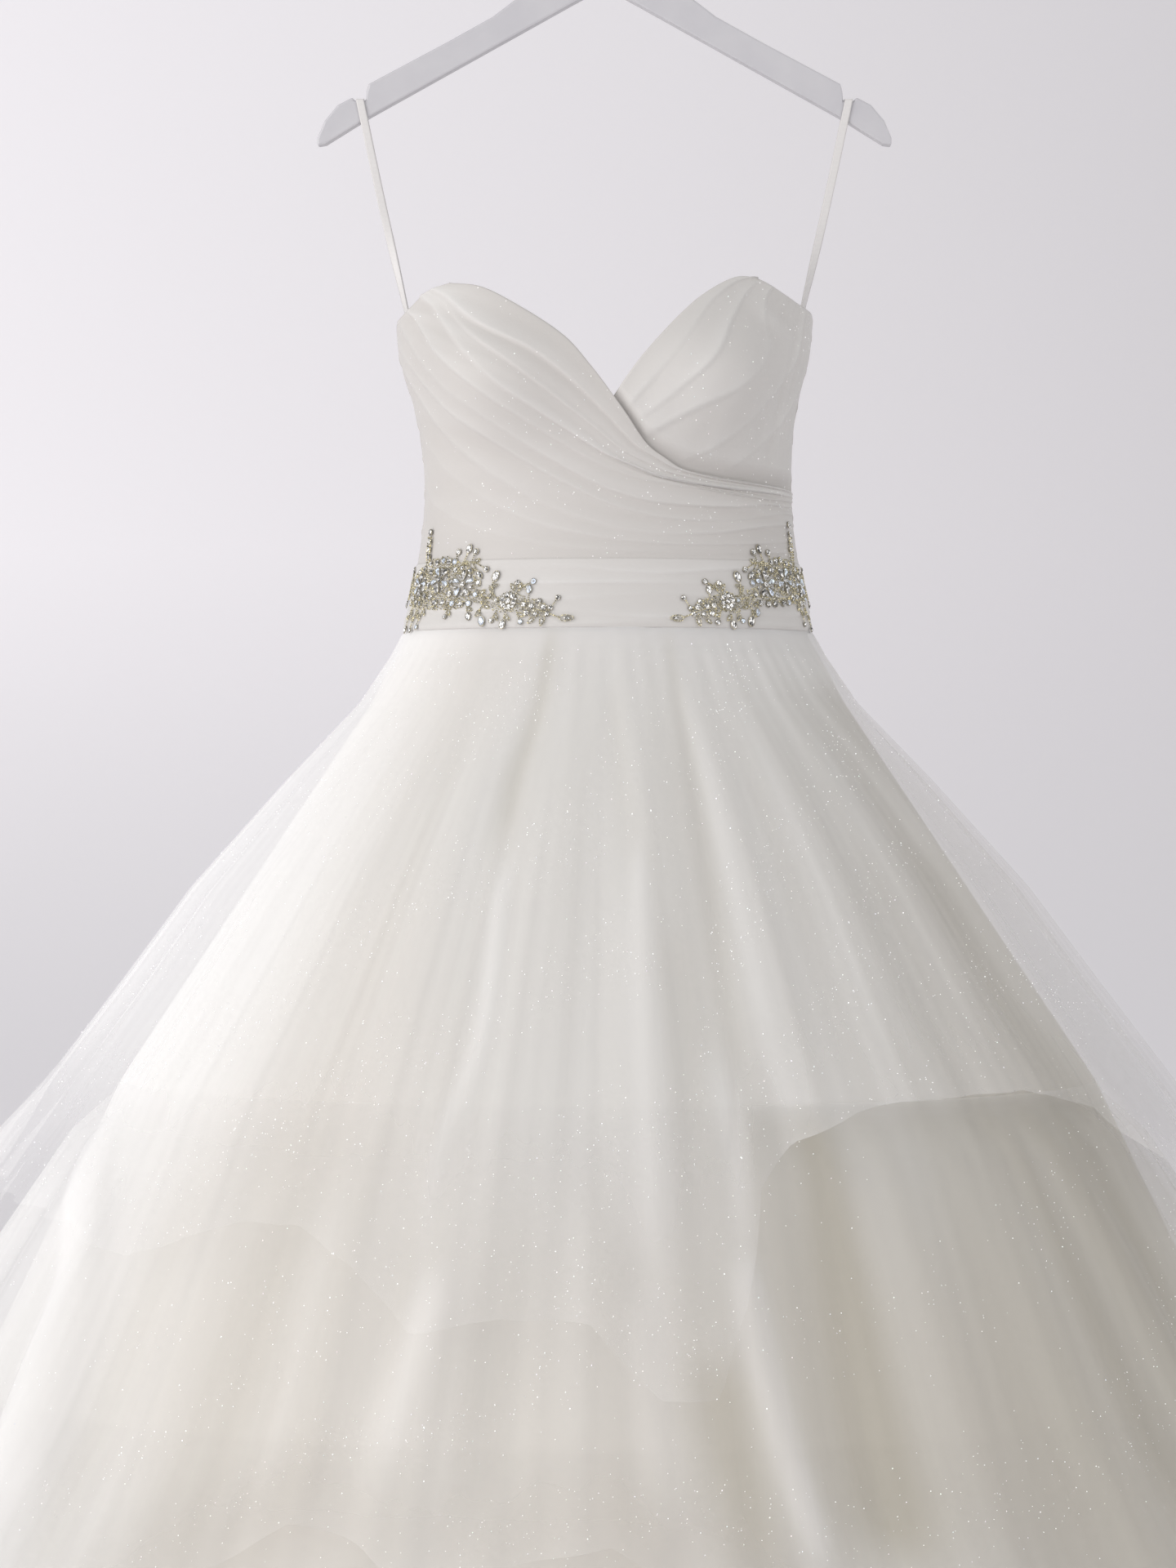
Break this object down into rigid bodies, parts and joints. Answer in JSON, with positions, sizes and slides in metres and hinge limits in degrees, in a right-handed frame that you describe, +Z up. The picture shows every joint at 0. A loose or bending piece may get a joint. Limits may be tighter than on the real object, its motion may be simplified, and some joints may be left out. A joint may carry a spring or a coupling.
{
  "type": "wedding dress on a hanger",
  "caption": "Strapless ball gown with a draped sweetheart bodice, beaded hip sprays and a tiered net skirt, hung from a painted wooden hanger by two ribbon loops.",
  "frame": {"origin": "the point inside the top of the hanger's hook that bears on the rod", "axes": "+Z up, the gown's front facing -Y, +X towards the wearer's left (the viewer's right in the picture)"},
  "size_m": [1.5761, 1.3147, 1.7162],
  "materials": {
    "draped_tulle": "pleated glitter tulle over satin",
    "ivory_satin": "soft satin",
    "skirt_net": "sheer organza and net with fine glitter",
    "beading": "glass stones and metallic seed beads sewn on net",
    "ribbon": "plain woven satin ribbon",
    "hanger_paint": "wood with satin white paint",
    "steel": "bright plated steel"
  },
  "bodies": {
    "gown": {"bodice_front_drape": "draped_tulle", "bodice_front_cup": "draped_tulle", "bodice_back_left": "draped_tulle", "bodice_back_right": "draped_tulle", "waistband_front": "draped_tulle", "waistband_back_left": "draped_tulle", "waistband_back_right": "draped_tulle", "hip_spray_left": "beading", "hip_spray_right": "beading", "skirt_lining": "ivory_satin", "underskirt": "skirt_net", "flounce_middle": "skirt_net", "flounce_lower": "skirt_net", "skirt_overlay": "skirt_net", "hanger": "hanger_paint", "hanger_hook": "steel", "hanger_loop_left": "ribbon", "hanger_loop_right": "ribbon", "zip_tape": "ribbon", "zip_slider": "steel"},
    "zip_pull": {"zip_pull": "steel"}
  },
  "joints": [
    {"name": "zip_pull_swing", "type": "hinge", "parent": "gown", "child": "zip_pull", "pos_m": [0.00239, 0.09066, -0.456], "axis": [1, 0, 0], "range_deg": [0, 160]}
  ]
}
